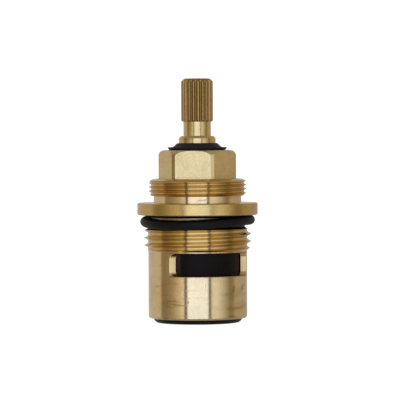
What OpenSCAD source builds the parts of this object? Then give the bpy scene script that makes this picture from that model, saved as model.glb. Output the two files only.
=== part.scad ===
// Quarter-turn ceramic disc cartridge for a tap, in millimetres.
// A turned brass body with two milled side windows holds a splined spindle, a plastic
// driver and two lapped ceramic discs. The axis is Z, the origin is the middle of the
// bottom seal's face, and the windows look along +Y and -Y. The spindle is drawn closed.

/* [Sleeve and windows] */
// Outer diameter of the sleeve that dips into the tap
sleeve_d = 24.2; // [23:0.1:25]
// Wall of the sleeve round the disc chamber
sleeve_wall = 1.3; // [0.9:0.05:1.7]
// Break on the sleeve's lower edge
sleeve_chamfer = 0.35; // [0.1:0.05:0.6]
// Height of each side window
window_h = 5.6; // [4:0.1:8]
// Distance from the axis to the flat cheeks of a window
window_reach = 6.65; // [5.5:0.05:8]
// Radius that the cutter leaves in the inner corners of a window
window_corner_r = 1.4; // [0.2:0.05:2]
// Plain sleeve between a window and the thread above it
window_to_thread = 0.35; // [0.2:0.05:2]

/* [Valve thread] */
// Diameter over the crests of the thread that screws into the tap
valve_thread_d = 26.2; // [25.8:0.05:26.6]
// Height of the threaded band
valve_thread_h = 5.35; // [4:0.05:10]
// Height of the lead-in cone at the thread's lower end
valve_lead_h = 0.85; // [0.3:0.05:1.5]

/* [Flange and its O-ring] */
// Diameter of the groove that carries the flange O-ring
groove_d = 23.1; // [22.5:0.1:24]
// Height of the groove between the thread and the flange
groove_h = 3.4; // [3:0.1:6]
// Bevel where the groove meets the thread and the flange
groove_bevel = 0.5; // [0.2:0.05:0.7]
// Diameter of the flange that seats on the tap
flange_d = 29.5; // [28:0.1:34]
// Thickness of the flange
flange_h = 2.95; // [2:0.05:5]
// Break on the flange's edges
flange_break = 0.18; // [0.05:0.01:0.5]
// Section of the flange O-ring
flange_ring_section = 2.4; // [1.8:0.1:2.8]
// Share of its play in the groove that the loose O-ring takes up by leaning
flange_ring_lean = 0.75; // [0:0.05:0.9]

/* [Shroud thread and hexagon] */
// Diameter of the relief between the flange and the shroud thread
relief_d = 21.5; // [20:0.1:23]
// Height of the relief
relief_h = 1.7; // [1:0.1:4]
// Diameter over the crests of the thread that carries the tap's shroud
shroud_thread_d = 24; // [23.5:0.1:28]
// Height of the shroud thread
shroud_thread_h = 4.15; // [3:0.05:10]
// Break at both ends of the shroud thread
shroud_thread_break = 0.65; // [0.2:0.05:1]
// Width of the hexagon across its flats
hex_af = 17; // [15:0.5:20]
// Diameter taken off the hexagon's corners by turning
hex_corner_cut = 0.55; // [0.1:0.05:1.2]
// Height of the hexagon
hex_h = 7; // [6:0.1:14]
// Radius of the turned edge round the hexagon's top
hex_round_r = 1.5; // [0.5:0.1:1.8]

/* [Spindle] */
// Diameter over the teeth of the handle spline
spline_d = 7.75; // [7.2:0.05:9]
// Number of spline teeth
spline_teeth = 20; // [16:1:28]
// Depth of the grooves between the teeth
spline_depth = 0.42; // [0.25:0.01:0.5]
// Height of the splined head
spline_h = 10.55; // [6:0.05:16]
// Chamfer on the top of the splined head
spline_chamfer = 0.75; // [0.4:0.05:1]
// Chamfer on the lower end of the splined head
spline_foot_chamfer = 0.3; // [0.1:0.05:0.6]
// Diameter of the plain neck below the spline
neck_d = 6.7; // [5.6:0.1:6.8]
// Height of the neck
neck_h = 3.5; // [1:0.1:8]
// Diameter of the collar that holds the dust lip down
collar_d = 9; // [8.4:0.1:9.8]
// Height of the collar
collar_h = 1.75; // [1:0.05:4]
// Chamfer on the collar's upper edge
collar_chamfer = 0.5; // [0.1:0.05:0.8]
// Diameter of the stem that turns in the body
stem_d = 10; // [9.2:0.1:12]
// Diameter of the foot that bears on the friction washer
foot_d = 16.6; // [14:0.1:17.4]
// Thickness of the foot
foot_h = 1.8; // [1.2:0.1:3]
// Length of the drive tongue under the foot
tongue_l = 10.5; // [7:0.1:13]
// Width of the drive tongue
tongue_w = 4.5; // [3.5:0.1:5.5]
// Height of the drive tongue
tongue_h = 3.4; // [2:0.1:4]
// Tapping diameter of the handle screw's hole
screw_hole_d = 4.2; // [2.5:0.1:4.4]
// Depth of the handle screw's hole
screw_hole_h = 11; // [6:0.5:14]

/* [Turn and stops] */
// Angle between closed and open
turn_angle = 90; // [60:5:100]
// Width of each stop rib inside the body
stop_rib_angle = 40; // [20:1:50]
// Free angle left between a stop and the spindle's ear
stop_play = 0.75; // [0.3:0.05:2]

/* [Stem seals and dust lip] */
// Free section of the two stem O-rings
stem_ring_section = 1.5; // [1.3:0.05:1.8]
// Depth of the stem's O-ring grooves
stem_groove_depth = 1.25; // [1:0.05:1.3]
// Width of the stem's O-ring grooves
stem_groove_w = 2; // [1.8:0.1:2.4]
// Distance from the hexagon's top down to the upper stem O-ring
stem_ring_drop = 3; // [2:0.1:6]
// Distance between the two stem O-rings
stem_ring_pitch = 3.6; // [2.6:0.1:8]
// Outer diameter of the dust lip
lip_d = 14.5; // [12.5:0.1:16]
// Height of the dust lip
lip_h = 1.65; // [1.3:0.05:3]
// Diameter of the dust lip's top
lip_top_d = 9.9; // [9.4:0.1:10.6]
// Thickness of the flared skirt
lip_skirt_h = 0.65; // [0.4:0.05:0.9]

/* [Discs, driver and seal] */
// Thickness of the fixed disc
fixed_disc_h = 3.6; // [2.5:0.1:5]
// Thickness of the moving disc
moving_disc_h = 3.6; // [3:0.1:5]
// Inner radius of the water ports in both discs
port_r_in = 2.6; // [2:0.1:4]
// Outer radius of the water ports in both discs
port_r_out = 7.4; // [6:0.1:7.8]
// Angle that each water port spans
port_angle = 66; // [40:1:76]
// Radius of the ports' corners
port_corner_r = 0.8; // [0.3:0.05:1]
// Width of the fixed disc's two locking ears
key_w = 4; // [2.5:0.1:6]
// Depth of the keyways that take those ears
key_depth = 0.5; // [0.3:0.05:0.6]
// Angle of each round driver wall that closes a window
driver_wall_angle = 84; // [70:1:90]
// Angle of each open scoop in the driver
scoop_angle = 58; // [50:1:64]
// Thickness of the driver's top plate over the scoops
driver_plate_h = 2; // [1.2:0.1:3]
// Direction that the driver's bevels face, turned from the middle of a scoop
driver_bevel_turn = 37; // [32:1:42]
// Angle of each lug that turns the moving disc
lug_angle = 26; // [14:1:40]
// Radial depth of the lugs
lug_depth = 1.6; // [1:0.1:2]
// Height of the lugs
lug_h = 2.4; // [1:0.1:2.6]
// Height of the bottom seal
seal_h = 3.85; // [2.6:0.05:5]
// Height of the bottom seal that stands below the sleeve
seal_proud = 1.15; // [0.4:0.05:1.6]
// Radial width of the bottom seal
seal_w = 2.55; // [2:0.05:3.2]
// Radius of the bottom seal's outer edge
seal_edge_r = 1.5; // [0.3:0.05:1.8]
// Radius of the edge round the bottom seal's bore
seal_bore_edge_r = 0.4; // [0.1:0.05:0.6]
// Wall of the support ring inside the seal
support_w = 0.85; // [0.5:0.05:1.4]
// Setback of the support ring from the seal's face
support_setback = 0.5; // [0.2:0.1:1.2]
// Thickness of the friction washer
washer_h = 0.8; // [0.4:0.05:1.4]

/* [Hidden] */
$fn = 96;

// Clearances, from the film between the lapped discs to the swing of the ears
film = 0.02;
thrust_play = 0.05;
running_fit = 0.05;
loose_fit = 0.1;
swing_fit = 0.2;
moving_disc_gap = 0.6;
lug_fit_angle = 1;

// Steps, breaks and walls that follow from their neighbours
seal_seat_step = 0.2;
window_sill = 0.6;
window_head = 0.2;
thread_top_break = 0.15;
lip_step = 0.5;
lip_undercut = 0.3;
lip_root_h = 0.1;
lip_cone_slope = 0.75;
hub_wall = 2.2;
drill_tip_angle = 118;
// Shares of the spline's pitch that a tooth takes at its tip and at its root
spline_tip_share = 0.28;
spline_root_share = 0.76;
// Overlap that fuses joined shapes, and run-out that carries cuts past a face
fuse = 0.5;
past = 5;

// Radii inside the sleeve
sleeve_r = sleeve_d / 2;
chamber_r = sleeve_r - sleeve_wall;
seal_seat_r = chamber_r + seal_seat_step;
seal_r = seal_seat_r - running_fit;
seal_bore_r = seal_r - seal_w;
support_r = seal_bore_r - running_fit;
fixed_disc_r = chamber_r - loose_fit;
moving_disc_r = chamber_r - moving_disc_gap;
driver_r = chamber_r - swing_fit;
driver_h = window_sill + window_h + window_head;
hub_r = tongue_w / 2 + loose_fit + hub_wall;
foot_r = foot_d / 2;
stop_rib_r = foot_r + swing_fit;
bore_r = stem_d / 2 + running_fit;

// Levels, from the bottom seal up
z_rim = seal_proud;
z_fixed = seal_h;
z_moving = z_fixed + fixed_disc_h + film;
z_driver = z_moving + moving_disc_h;
z_foot = z_driver + driver_h;
z_washer = z_foot + foot_h + thrust_play;
z_shoulder = z_washer + washer_h;
z_window = z_driver + window_sill;
z_valve_thread = z_window + window_h + window_to_thread;
z_groove = z_valve_thread + valve_thread_h;
z_flange = z_groove + groove_h;
z_relief = z_flange + flange_h;
z_shroud_thread = z_relief + relief_h;
z_hex = z_shroud_thread + shroud_thread_h;
z_hex_top = z_hex + hex_h;
z_lip = z_hex_top + thrust_play;
z_collar = z_lip + lip_h;
z_neck = z_collar + collar_h;
z_spline = z_neck + neck_h;
z_top = z_spline + spline_h;
z_upper_ring = z_hex_top - stem_ring_drop;
z_lower_ring = z_upper_ring - stem_ring_pitch;

// The spindle's ears fill what the stop ribs, the turn and the play leave
ear_angle = 180 - turn_angle - stop_rib_angle - 2 * stop_play;
ear_start = stop_rib_angle / 2 + stop_play;

brass = "#c2a464";
bright_brass = "#b08d50";
black_rubber = "#1b1b1d";
black_plastic = "#241f20";
white_plastic = "#e9e7df";
ceramic = "#ddd8cc";

function polar(r, a) = [r * cos(a), r * sin(a)];

// A turned solid from its outline of radius and height points
module turned(outline) {
    rotate_extrude()
        polygon(outline);
}

// A plain ring
module ring(r_in, r_out, h) {
    difference() {
        cylinder(r = r_out, h = h);
        translate([0, 0, -past])
            cylinder(r = r_in, h = h + 2 * past);
    }
}

// A block bent round the axis, centred on the direction given
module arc_block(r_in, r_out, h, span, direction) {
    rotate([0, 0, direction - span / 2])
        rotate_extrude(angle = span)
            translate([r_in, 0])
                square([r_out - r_in, h]);
}

// One water port, a bent slot whose four corners are round
module port(h, direction) {
    inner_turn = asin(port_corner_r / (port_r_in + port_corner_r));
    outer_turn = asin(port_corner_r / (port_r_out - port_corner_r));
    inner_touch = (port_r_in + port_corner_r) * cos(inner_turn);
    outer_touch = (port_r_out - port_corner_r) * cos(outer_turn);
    arc_block(inner_touch, outer_touch, h, port_angle, direction);
    arc_block(port_r_in, inner_touch + fuse, h, port_angle - 2 * inner_turn, direction);
    arc_block(outer_touch - fuse, port_r_out, h, port_angle - 2 * outer_turn, direction);
    for (side = [-1, 1]) {
        translate(polar(port_r_in + port_corner_r, direction + side * (port_angle / 2 - inner_turn)))
            cylinder(r = port_corner_r, h = h);
        translate(polar(port_r_out - port_corner_r, direction + side * (port_angle / 2 - outer_turn)))
            cylinder(r = port_corner_r, h = h);
    }
}

// The pair of water ports through a disc, centred on the direction given
module ports(h, direction) {
    for (half_turn = [0, 180])
        translate([0, 0, -past])
            port(h + 2 * past, direction + half_turn);
}

// Sleeve, both thread bands, groove, flange and relief in one turned outline
module body_turning() {
    valve_r = valve_thread_d / 2;
    groove_r = groove_d / 2;
    flange_r = flange_d / 2;
    shroud_r = shroud_thread_d / 2;
    turned([
        [0, z_rim],
        [sleeve_r - sleeve_chamfer, z_rim],
        [sleeve_r, z_rim + sleeve_chamfer],
        [sleeve_r, z_valve_thread],
        [valve_r, z_valve_thread + valve_lead_h],
        [valve_r, z_groove - thread_top_break],
        [valve_r - thread_top_break, z_groove],
        [groove_r + groove_bevel, z_groove],
        [groove_r, z_groove + groove_bevel],
        [groove_r, z_flange - groove_bevel],
        [groove_r + groove_bevel, z_flange],
        [flange_r - flange_break, z_flange],
        [flange_r, z_flange + flange_break],
        [flange_r, z_relief - flange_break],
        [flange_r - flange_break, z_relief],
        [relief_d / 2, z_relief],
        [relief_d / 2, z_shroud_thread],
        [shroud_r - shroud_thread_break, z_shroud_thread],
        [shroud_r, z_shroud_thread + shroud_thread_break],
        [shroud_r, z_hex - shroud_thread_break],
        [shroud_r - shroud_thread_break, z_hex],
        [0, z_hex]
    ]);
}

// Hexagon with its corners turned and its top edge rounded in the lathe
module body_hexagon() {
    corner_r = hex_af / 2 / cos(30);
    turned_r = corner_r - hex_corner_cut / 2;
    translate([0, 0, z_hex - fuse])
        intersection() {
            rotate([0, 0, 30])
                cylinder(r = corner_r, h = hex_h + fuse, $fn = 6);
            rotate_extrude() {
                square([turned_r - hex_round_r, hex_h + fuse]);
                square([turned_r, hex_h + fuse - hex_round_r]);
                translate([turned_r - hex_round_r, hex_h + fuse - hex_round_r])
                    intersection() {
                        circle(r = hex_round_r);
                        square(hex_round_r);
                    }
            }
        }
}

// Seal seat, disc chamber and spindle bore in one stepped outline
module body_bore() {
    turned([
        [0, z_rim - past],
        [seal_seat_r, z_rim - past],
        [seal_seat_r, z_fixed],
        [chamber_r, z_fixed],
        [chamber_r, z_shoulder],
        [bore_r, z_shoulder],
        [bore_r, z_hex_top + past],
        [0, z_hex_top + past]
    ]);
}

// One side-milled window, open towards -Y, with the cutter's radius in its corners
module window_cut() {
    mill_r = min(window_corner_r, window_h / 2);
    start = sleeve_r + past;
    feed = start - window_reach;
    translate([-start, 0, z_window])
        rotate([90, 0, 90])
            linear_extrude(2 * start) {
                translate([-start, 0])
                    square([feed - mill_r, window_h]);
                translate([-start, mill_r])
                    square([feed, window_h - 2 * mill_r]);
                for (level = [mill_r, window_h - mill_r])
                    translate([-window_reach - mill_r, level])
                        circle(r = mill_r);
            }
}

module keyways() {
    for (side = [0, 180])
        rotate([0, 0, side])
            translate([0, -key_w / 2, z_fixed])
                cube([chamber_r + key_depth, key_w, fixed_disc_h]);
}

module body() {
    color(brass) {
        difference() {
            union() {
                body_turning();
                body_hexagon();
            }
            body_bore();
            keyways();
            for (side = [0, 180])
                rotate([0, 0, side])
                    window_cut();
        }
        for (side = [0, 180])
            translate([0, 0, z_foot + loose_fit])
                arc_block(stop_rib_r, chamber_r + fuse, z_shoulder - z_foot - loose_fit + fuse,
                    stop_rib_angle, side);
    }
}

// Toothed bar, cut to the chamfered outline of the splined head
module spline_head() {
    tip_r = spline_d / 2;
    root_r = tip_r - spline_depth;
    pitch_angle = 360 / spline_teeth;
    tip_half = spline_tip_share * pitch_angle / 2;
    root_half = spline_root_share * pitch_angle / 2;
    tooth = [[root_r, -root_half], [tip_r, -tip_half], [tip_r, tip_half], [root_r, root_half]];
    intersection() {
        translate([0, 0, z_spline])
            linear_extrude(spline_h)
                polygon([for (i = [0:spline_teeth - 1], corner = tooth)
                    polar(corner[0], i * pitch_angle + corner[1])]);
        turned([
            [0, z_spline],
            [tip_r - spline_foot_chamfer, z_spline],
            [tip_r, z_spline + spline_foot_chamfer],
            [tip_r, z_top - spline_chamfer],
            [tip_r - spline_chamfer, z_top],
            [0, z_top]
        ]);
    }
}

// Foot, stem with its two seal grooves, lip groove, collar and neck
module spindle_turning() {
    stem_r = stem_d / 2;
    groove_r = stem_r - stem_groove_depth;
    half_w = stem_groove_w / 2;
    lip_groove_r = collar_d / 2 - lip_step;
    z_foot_top = z_foot + foot_h;
    turned([
        [0, z_foot],
        [foot_r, z_foot],
        [foot_r, z_foot_top],
        [stem_r, z_foot_top],
        [stem_r, z_lower_ring - half_w],
        [groove_r, z_lower_ring - half_w],
        [groove_r, z_lower_ring + half_w],
        [stem_r, z_lower_ring + half_w],
        [stem_r, z_upper_ring - half_w],
        [groove_r, z_upper_ring - half_w],
        [groove_r, z_upper_ring + half_w],
        [stem_r, z_upper_ring + half_w],
        [stem_r, z_hex_top - loose_fit],
        [lip_groove_r, z_hex_top - loose_fit],
        [lip_groove_r, z_collar],
        [collar_d / 2, z_collar],
        [collar_d / 2, z_neck - collar_chamfer],
        [collar_d / 2 - collar_chamfer, z_neck],
        [neck_d / 2, z_neck],
        [neck_d / 2, z_spline + fuse],
        [0, z_spline + fuse]
    ]);
}

module spindle() {
    hole_r = screw_hole_d / 2;
    tip_h = hole_r / tan(drill_tip_angle / 2);
    color(bright_brass)
        difference() {
            union() {
                spline_head();
                spindle_turning();
                for (side = [0, 180])
                    translate([0, 0, z_foot])
                        arc_block(foot_r - fuse, chamber_r - swing_fit, foot_h, ear_angle,
                            ear_start + ear_angle / 2 + side);
                translate([-tongue_w / 2, -tongue_l / 2, z_foot - tongue_h])
                    cube([tongue_w, tongue_l, tongue_h + foot_h]);
            }
            turned([
                [0, z_top - screw_hole_h - tip_h],
                [hole_r, z_top - screw_hole_h],
                [hole_r, z_top + past],
                [0, z_top + past]
            ]);
        }
}

// Conical collar with a thin flared skirt that wipes the hexagon's top
module dust_lip() {
    bore = collar_d / 2 - lip_step + running_fit;
    skirt_r = lip_d / 2;
    cone_h = lip_h - lip_skirt_h - lip_root_h;
    cone_r = lip_top_d / 2 + cone_h * lip_cone_slope;
    color(black_plastic)
        turned([
            [bore, z_lip],
            [skirt_r - lip_undercut, z_lip],
            [skirt_r, z_lip + lip_skirt_h - lip_root_h],
            [skirt_r, z_lip + lip_skirt_h],
            [cone_r, z_collar - cone_h],
            [lip_top_d / 2, z_collar],
            [bore, z_collar]
        ]);
}

// Stem O-ring as it sits squeezed between its groove and the bore
module stem_o_ring(z) {
    r_in = stem_d / 2 - stem_groove_depth + film;
    r_out = bore_r - film;
    color(black_rubber)
        translate([0, 0, z])
            rotate_extrude()
                intersection() {
                    translate([(r_in + r_out) / 2, 0])
                        circle(d = stem_ring_section);
                    translate([r_in, -stem_ring_section])
                        square([r_out - r_in, 2 * stem_ring_section]);
                }
}

module upper_stem_o_ring() {
    stem_o_ring(z_upper_ring);
}

module lower_stem_o_ring() {
    stem_o_ring(z_lower_ring);
}

module friction_washer() {
    color(white_plastic)
        translate([0, 0, z_washer])
            ring(bore_r + loose_fit, foot_r, washer_h);
}

// Flat faces beside each scoop, which end the round walls between the scoops
module driver_bevels() {
    wall_end = 90 - driver_wall_angle / 2;
    reach = driver_r * cos(wall_end - driver_bevel_turn);
    for (half_turn = [0, 180], side = [-1, 1])
        rotate([0, 0, half_turn + side * driver_bevel_turn])
            translate([reach, -driver_r, -past])
                cube([driver_r, 2 * driver_r, driver_h + 2 * past]);
}

// One scoop that turns the water from the disc's port out to a window
module driver_scoop() {
    scoop_h = driver_h - driver_plate_h;
    slope = scoop_h / 2;
    rotate([0, 0, -scoop_angle / 2])
        rotate_extrude(angle = scoop_angle)
            polygon([
                [hub_r, -past],
                [driver_r + past, -past],
                [driver_r + past, scoop_h],
                [hub_r + slope, scoop_h],
                [hub_r, scoop_h - slope]
            ]);
}

module disc_driver() {
    slot_w = tongue_w + 2 * loose_fit;
    slot_l = tongue_l + 2 * loose_fit;
    color(black_plastic)
        translate([0, 0, z_driver]) {
            difference() {
                cylinder(r = driver_r, h = driver_h);
                driver_bevels();
                for (half_turn = [0, 180])
                    rotate([0, 0, half_turn])
                        driver_scoop();
                translate([-slot_w / 2, -slot_l / 2, driver_h - tongue_h - loose_fit])
                    cube([slot_w, slot_l, tongue_h + past]);
            }
            for (direction = [90, 270])
                translate([0, 0, -lug_h])
                    arc_block(moving_disc_r - lug_depth, moving_disc_r, lug_h + fuse, lug_angle,
                        direction);
        }
}

// Upper disc, with its ports across the windows while the tap is closed
module moving_disc() {
    color(ceramic)
        translate([0, 0, z_moving])
            difference() {
                cylinder(r = moving_disc_r, h = moving_disc_h);
                ports(moving_disc_h, 0);
                for (direction = [90, 270])
                    translate([0, 0, moving_disc_h - lug_h - loose_fit])
                        arc_block(moving_disc_r - lug_depth - loose_fit, moving_disc_r + past,
                            lug_h + past, lug_angle + 2 * lug_fit_angle, direction);
            }
}

// Lower disc, with its ports under the windows and its ears in the keyways
module fixed_disc() {
    ear_w = key_w - 2 * loose_fit;
    color(ceramic)
        translate([0, 0, z_fixed])
            difference() {
                union() {
                    cylinder(r = fixed_disc_r, h = fixed_disc_h);
                    translate([-fixed_disc_r - key_depth, -ear_w / 2, 0])
                        cube([2 * (fixed_disc_r + key_depth), ear_w, fixed_disc_h]);
                }
                ports(fixed_disc_h, 90);
            }
}

// Rubber ring between the fixed disc and the seat in the tap
module bottom_seal() {
    color(black_rubber)
        rotate_extrude() {
            translate([seal_bore_r, seal_edge_r])
                square([seal_w, seal_h - seal_edge_r]);
            translate([seal_bore_r, seal_bore_edge_r])
                square([seal_w - seal_edge_r, seal_h - seal_bore_edge_r]);
            translate([seal_bore_r + seal_bore_edge_r, 0])
                square([seal_w - seal_edge_r - seal_bore_edge_r, seal_h]);
            translate([seal_bore_r + seal_bore_edge_r, seal_bore_edge_r])
                circle(r = seal_bore_edge_r);
            translate([seal_r - seal_edge_r, seal_edge_r])
                intersection() {
                    circle(r = seal_edge_r);
                    translate([0, -seal_edge_r])
                        square(seal_edge_r);
                }
        }
}

module seal_support_ring() {
    color(white_plastic)
        translate([0, 0, support_setback])
            ring(support_r - support_w, support_r, z_fixed - support_setback);
}

// Loose O-ring that seals under the flange, leaning a little in its groove
module flange_o_ring() {
    ring_r = groove_d / 2 + loose_fit + flange_ring_section / 2;
    play = (groove_h - flange_ring_section) / 2;
    lean = asin(flange_ring_lean * play / ring_r / sqrt(2));
    color(black_rubber)
        translate([0, 0, (z_groove + z_flange) / 2])
            rotate([lean, -lean, 0])
                rotate_extrude()
                    translate([ring_r, 0])
                        circle(d = flange_ring_section);
}

body();
spindle();
dust_lip();
upper_stem_o_ring();
lower_stem_o_ring();
friction_washer();
disc_driver();
moving_disc();
fixed_disc();
bottom_seal();
seal_support_ring();
flange_o_ring();
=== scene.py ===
# %% [markdown]
# # A quarter-turn tap cartridge
#
# The cartridge is the brass insert inside a tap. Turning its splined spindle by a quarter
# moves one ceramic disc over another and opens the water's way through the side windows.
# The solids arrive from the CAD model as a fixed frame, in metres, with their place in the
# mesh. This lesson adds what a solid leaves out: cut threads, broken edges and finishes.

import math

import bmesh
import bpy
from mathutils import Matrix, Quaternion, Vector


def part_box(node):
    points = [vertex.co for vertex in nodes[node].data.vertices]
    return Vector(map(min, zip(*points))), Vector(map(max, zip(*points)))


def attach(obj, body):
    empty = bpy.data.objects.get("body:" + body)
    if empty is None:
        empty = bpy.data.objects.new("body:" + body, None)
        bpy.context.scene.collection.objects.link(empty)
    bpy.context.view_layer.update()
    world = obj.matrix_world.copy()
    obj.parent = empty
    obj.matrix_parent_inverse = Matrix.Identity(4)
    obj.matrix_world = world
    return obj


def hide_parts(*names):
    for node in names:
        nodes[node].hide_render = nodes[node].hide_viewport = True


MM = 0.001

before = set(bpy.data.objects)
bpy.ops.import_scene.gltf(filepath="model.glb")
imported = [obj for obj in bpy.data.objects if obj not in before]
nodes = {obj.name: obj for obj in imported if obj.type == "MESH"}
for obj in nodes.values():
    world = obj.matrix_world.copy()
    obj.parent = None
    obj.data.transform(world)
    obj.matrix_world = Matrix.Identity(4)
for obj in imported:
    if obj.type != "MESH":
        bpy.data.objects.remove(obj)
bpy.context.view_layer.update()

# %% [markdown]
# ## The camera
#
# Product photographs of small hardware are taken from far off with a long lens, so that
# upright edges stay upright. The camera stands level with the splined head and looks a touch
# down. Its direction is measured from the window, which faces -Y on the model and stands
# 22.5 degrees to the right in the picture.

# %% Place the camera
CAMERA_TURN = math.radians(-112.5)
CAMERA_DISTANCE = 780 * MM
CAMERA_HEIGHT = 50.45 * MM
CAMERA_ROLL = math.radians(-0.25)
AIM_HEIGHT = 29.95 * MM
AIM_TO_RIGHT = 0.62 * MM
LENS = 287
SENSOR = 36

to_camera = Vector((math.cos(CAMERA_TURN), math.sin(CAMERA_TURN), 0))
to_right = Vector((-to_camera.y, to_camera.x, 0))
camera_data = bpy.data.cameras.new("photo_camera")
camera_data.lens = LENS
camera_data.sensor_width = SENSOR
camera = bpy.data.objects.new("photo_camera", camera_data)
bpy.context.scene.collection.objects.link(camera)
camera.location = to_camera * CAMERA_DISTANCE + Vector((0, 0, CAMERA_HEIGHT))
aim = to_right * AIM_TO_RIGHT + Vector((0, 0, AIM_HEIGHT))
looking = (aim - camera.location).to_track_quat("-Z", "Y")
camera.rotation_mode = "QUATERNION"
camera.rotation_quaternion = looking @ Quaternion((0, 0, 1), CAMERA_ROLL)
bpy.context.scene.camera = camera
print("camera at", [round(value, 4) for value in camera.location])

# %% [markdown]
# ## Copying a solid and breaking its edges
#
# No machined part has perfectly sharp edges: a deburring wheel or the mould leaves a narrow
# chamfer that catches the light. A Bevel modifier could add it, but the frame's meshes are
# loose triangles, so a copy is merged first, its flat triangles are dissolved into whole
# faces, and the bevel operator then runs on the sharp edges alone.

# %% Helpers for copies with broken edges
FLAT_ANGLE = math.radians(0.05)
SMOOTH_ANGLE = math.radians(20)
BREAK_ANGLE = math.radians(35)
MERGE_DISTANCE = 0.0005 * MM
CHAMFER_SEGMENTS = 1


def piece_from(shape, name):
    """Turn a bmesh into an object at the origin."""
    mesh = bpy.data.meshes.new(name)
    shape.to_mesh(mesh)
    shape.free()
    imported_normals = mesh.attributes.get("custom_normal")
    if imported_normals:
        mesh.attributes.remove(imported_normals)
    piece = bpy.data.objects.new(name, mesh)
    bpy.context.scene.collection.objects.link(piece)
    return piece


def shaded(piece):
    """Smooth shading that stops at every edge sharper than the limit."""
    piece.data.shade_smooth()
    piece.data.set_sharp_from_angle(angle=SMOOTH_ANGLE)
    return piece


def stands_for(piece, node, body):
    """The piece is shown in place of its node and moves with its body."""
    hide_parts(node)
    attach(piece, body)
    return piece


def merged_copy(node):
    """A bmesh of a CAD node with its triangles joined into whole faces."""
    shape = bmesh.new()
    shape.from_mesh(nodes[node].data)
    bmesh.ops.remove_doubles(shape, verts=shape.verts, dist=MERGE_DISTANCE)
    bmesh.ops.dissolve_limit(shape, angle_limit=FLAT_ANGLE, verts=shape.verts, edges=shape.edges)
    return shape


def soften(shape, corners, width_mm, segments, affect="EDGES"):
    """Bevel some edges or corner points: one segment is a chamfer, more make a round."""
    bmesh.ops.bevel(
        shape, geom=corners, offset=width_mm * MM, offset_type="OFFSET", affect=affect,
        segments=segments, profile=0.5, material=-1, clamp_overlap=False,
    )
    bmesh.ops.remove_doubles(shape, verts=shape.verts, dist=MERGE_DISTANCE)


def break_edges(shape, width_mm, below_z=math.inf):
    """Chamfer every edge below a height in mm that a finger would call sharp."""
    sharp = [edge for edge in shape.edges if edge.calc_face_angle(0) > BREAK_ANGLE
             and all(vert.co.z < below_z * MM for vert in edge.verts)]
    soften(shape, sharp, width_mm, CHAMFER_SEGMENTS)
    return len(sharp)


# %% [markdown]
# ## Screw threads
#
# A thread is cut on the lathe by a pointed tool that moves along while the work turns. Here
# the tool's outline is one face, and the spin operator carries it round the axis with a
# small step upwards each time, which leaves a helical bar. A Boolean subtracts that bar, so
# the thread fades in at the chamfers by itself, as a real one does. The tool's point is
# rounded, because a round root catches the light like a thin cylinder, and past a chosen
# height the bar is drawn outwards, as a tool is drawn back at the end of its cut. A
# right-hand thread climbs counter-clockwise, so on the near side it rises to the right.
# In the picture, the left outline lies a quarter turn clockwise from the camera.

# %% Helpers for threads
STEPS_PER_TURN = 120
LEFT_OUTLINE_TURN = 157.5
ROOT_SEGMENTS = 4
DRAW_BACK = 1.5


def thread_tool(name, root_r, outer_r, root_flat, root_round, flank_angle, pitch, crest_z,
                from_z, to_z, back_z=math.inf):
    """A helical bar with the outline of the groove. A crest meets the left outline at crest_z."""
    shape = bmesh.new()
    root_half = root_flat / 2
    outer_half = root_half + abs(outer_r - root_r) * math.tan(math.radians(flank_angle))
    outline = [(root_r, -root_half), (outer_r, -outer_half), (outer_r, outer_half), (root_r, root_half)]
    corners = [shape.verts.new((r * MM, 0, z * MM)) for r, z in outline]
    shape.faces.new(corners)
    soften(shape, [corners[0], corners[-1]], root_round, ROOT_SEGMENTS, "VERTICES")
    shape.faces.ensure_lookup_table()
    face = shape.faces[0]
    groove_z = crest_z - pitch / 2
    start_turn = LEFT_OUTLINE_TURN + 360 * (from_z - groove_z) / pitch
    place = Matrix.Translation((0, 0, from_z * MM)) @ Matrix.Rotation(math.radians(start_turn), 4, "Z")
    bmesh.ops.transform(shape, matrix=place, verts=shape.verts)
    steps = round((to_z - from_z) / pitch * STEPS_PER_TURN)
    bmesh.ops.spin(
        shape, geom=[face, *face.edges, *face.verts], axis=(0, 0, 1), cent=(0, 0, 0),
        dvec=(0, 0, pitch * MM / STEPS_PER_TURN), angle=2 * math.pi * steps / STEPS_PER_TURN, steps=steps,
    )
    bmesh.ops.recalc_face_normals(shape, faces=shape.faces)
    for vert in shape.verts:
        outward = Vector((vert.co.x, vert.co.y, 0)).normalized()
        vert.co += outward * max(vert.co.z - back_z * MM, 0) * DRAW_BACK
    return piece_from(shape, name)


def carve(piece, tool):
    """Subtract the tool from the piece and delete the tool."""
    modifier = piece.modifiers.new("carve", "BOOLEAN")
    modifier.operation = "DIFFERENCE"
    modifier.solver = "EXACT"
    modifier.object = tool
    seen = piece.evaluated_get(bpy.context.evaluated_depsgraph_get())
    carved = bpy.data.meshes.new_from_object(seen)
    piece.modifiers.clear()
    solid = piece.data
    piece.data = carved
    bpy.data.meshes.remove(solid)
    bpy.data.meshes.remove(tool.data)
    print(piece.name, "has", len(carved.polygons), "faces after carving")


# %% [markdown]
# ## The body and its two threads
#
# The body is one brass turning. The coarse valve thread under the flange is a pipe thread
# of 14 turns to the inch with 55 degree flanks, and the fine one above it has a pitch of
# one millimetre and 60 degree flanks. A deeper chamfer on top of the fine thread lets a nut
# start there. Where each thread starts round the axis is read from where its crests meet the
# outline in the picture. Last, the hexagon's flats are shaded flat, so that the chamfers
# beside them don't bend their light.

# %% Cut the body
HEX_AF = 17
SHROUD_TOP = 35.17
SHROUD_RIM_R = 11.35
SHROUD_RIM_CUT = 0.5
BODY_BREAK = 0.06
NEAR = 0.02
FLAT_NEAR = 0.005
UPRIGHT_NEAR = 0.001


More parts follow.
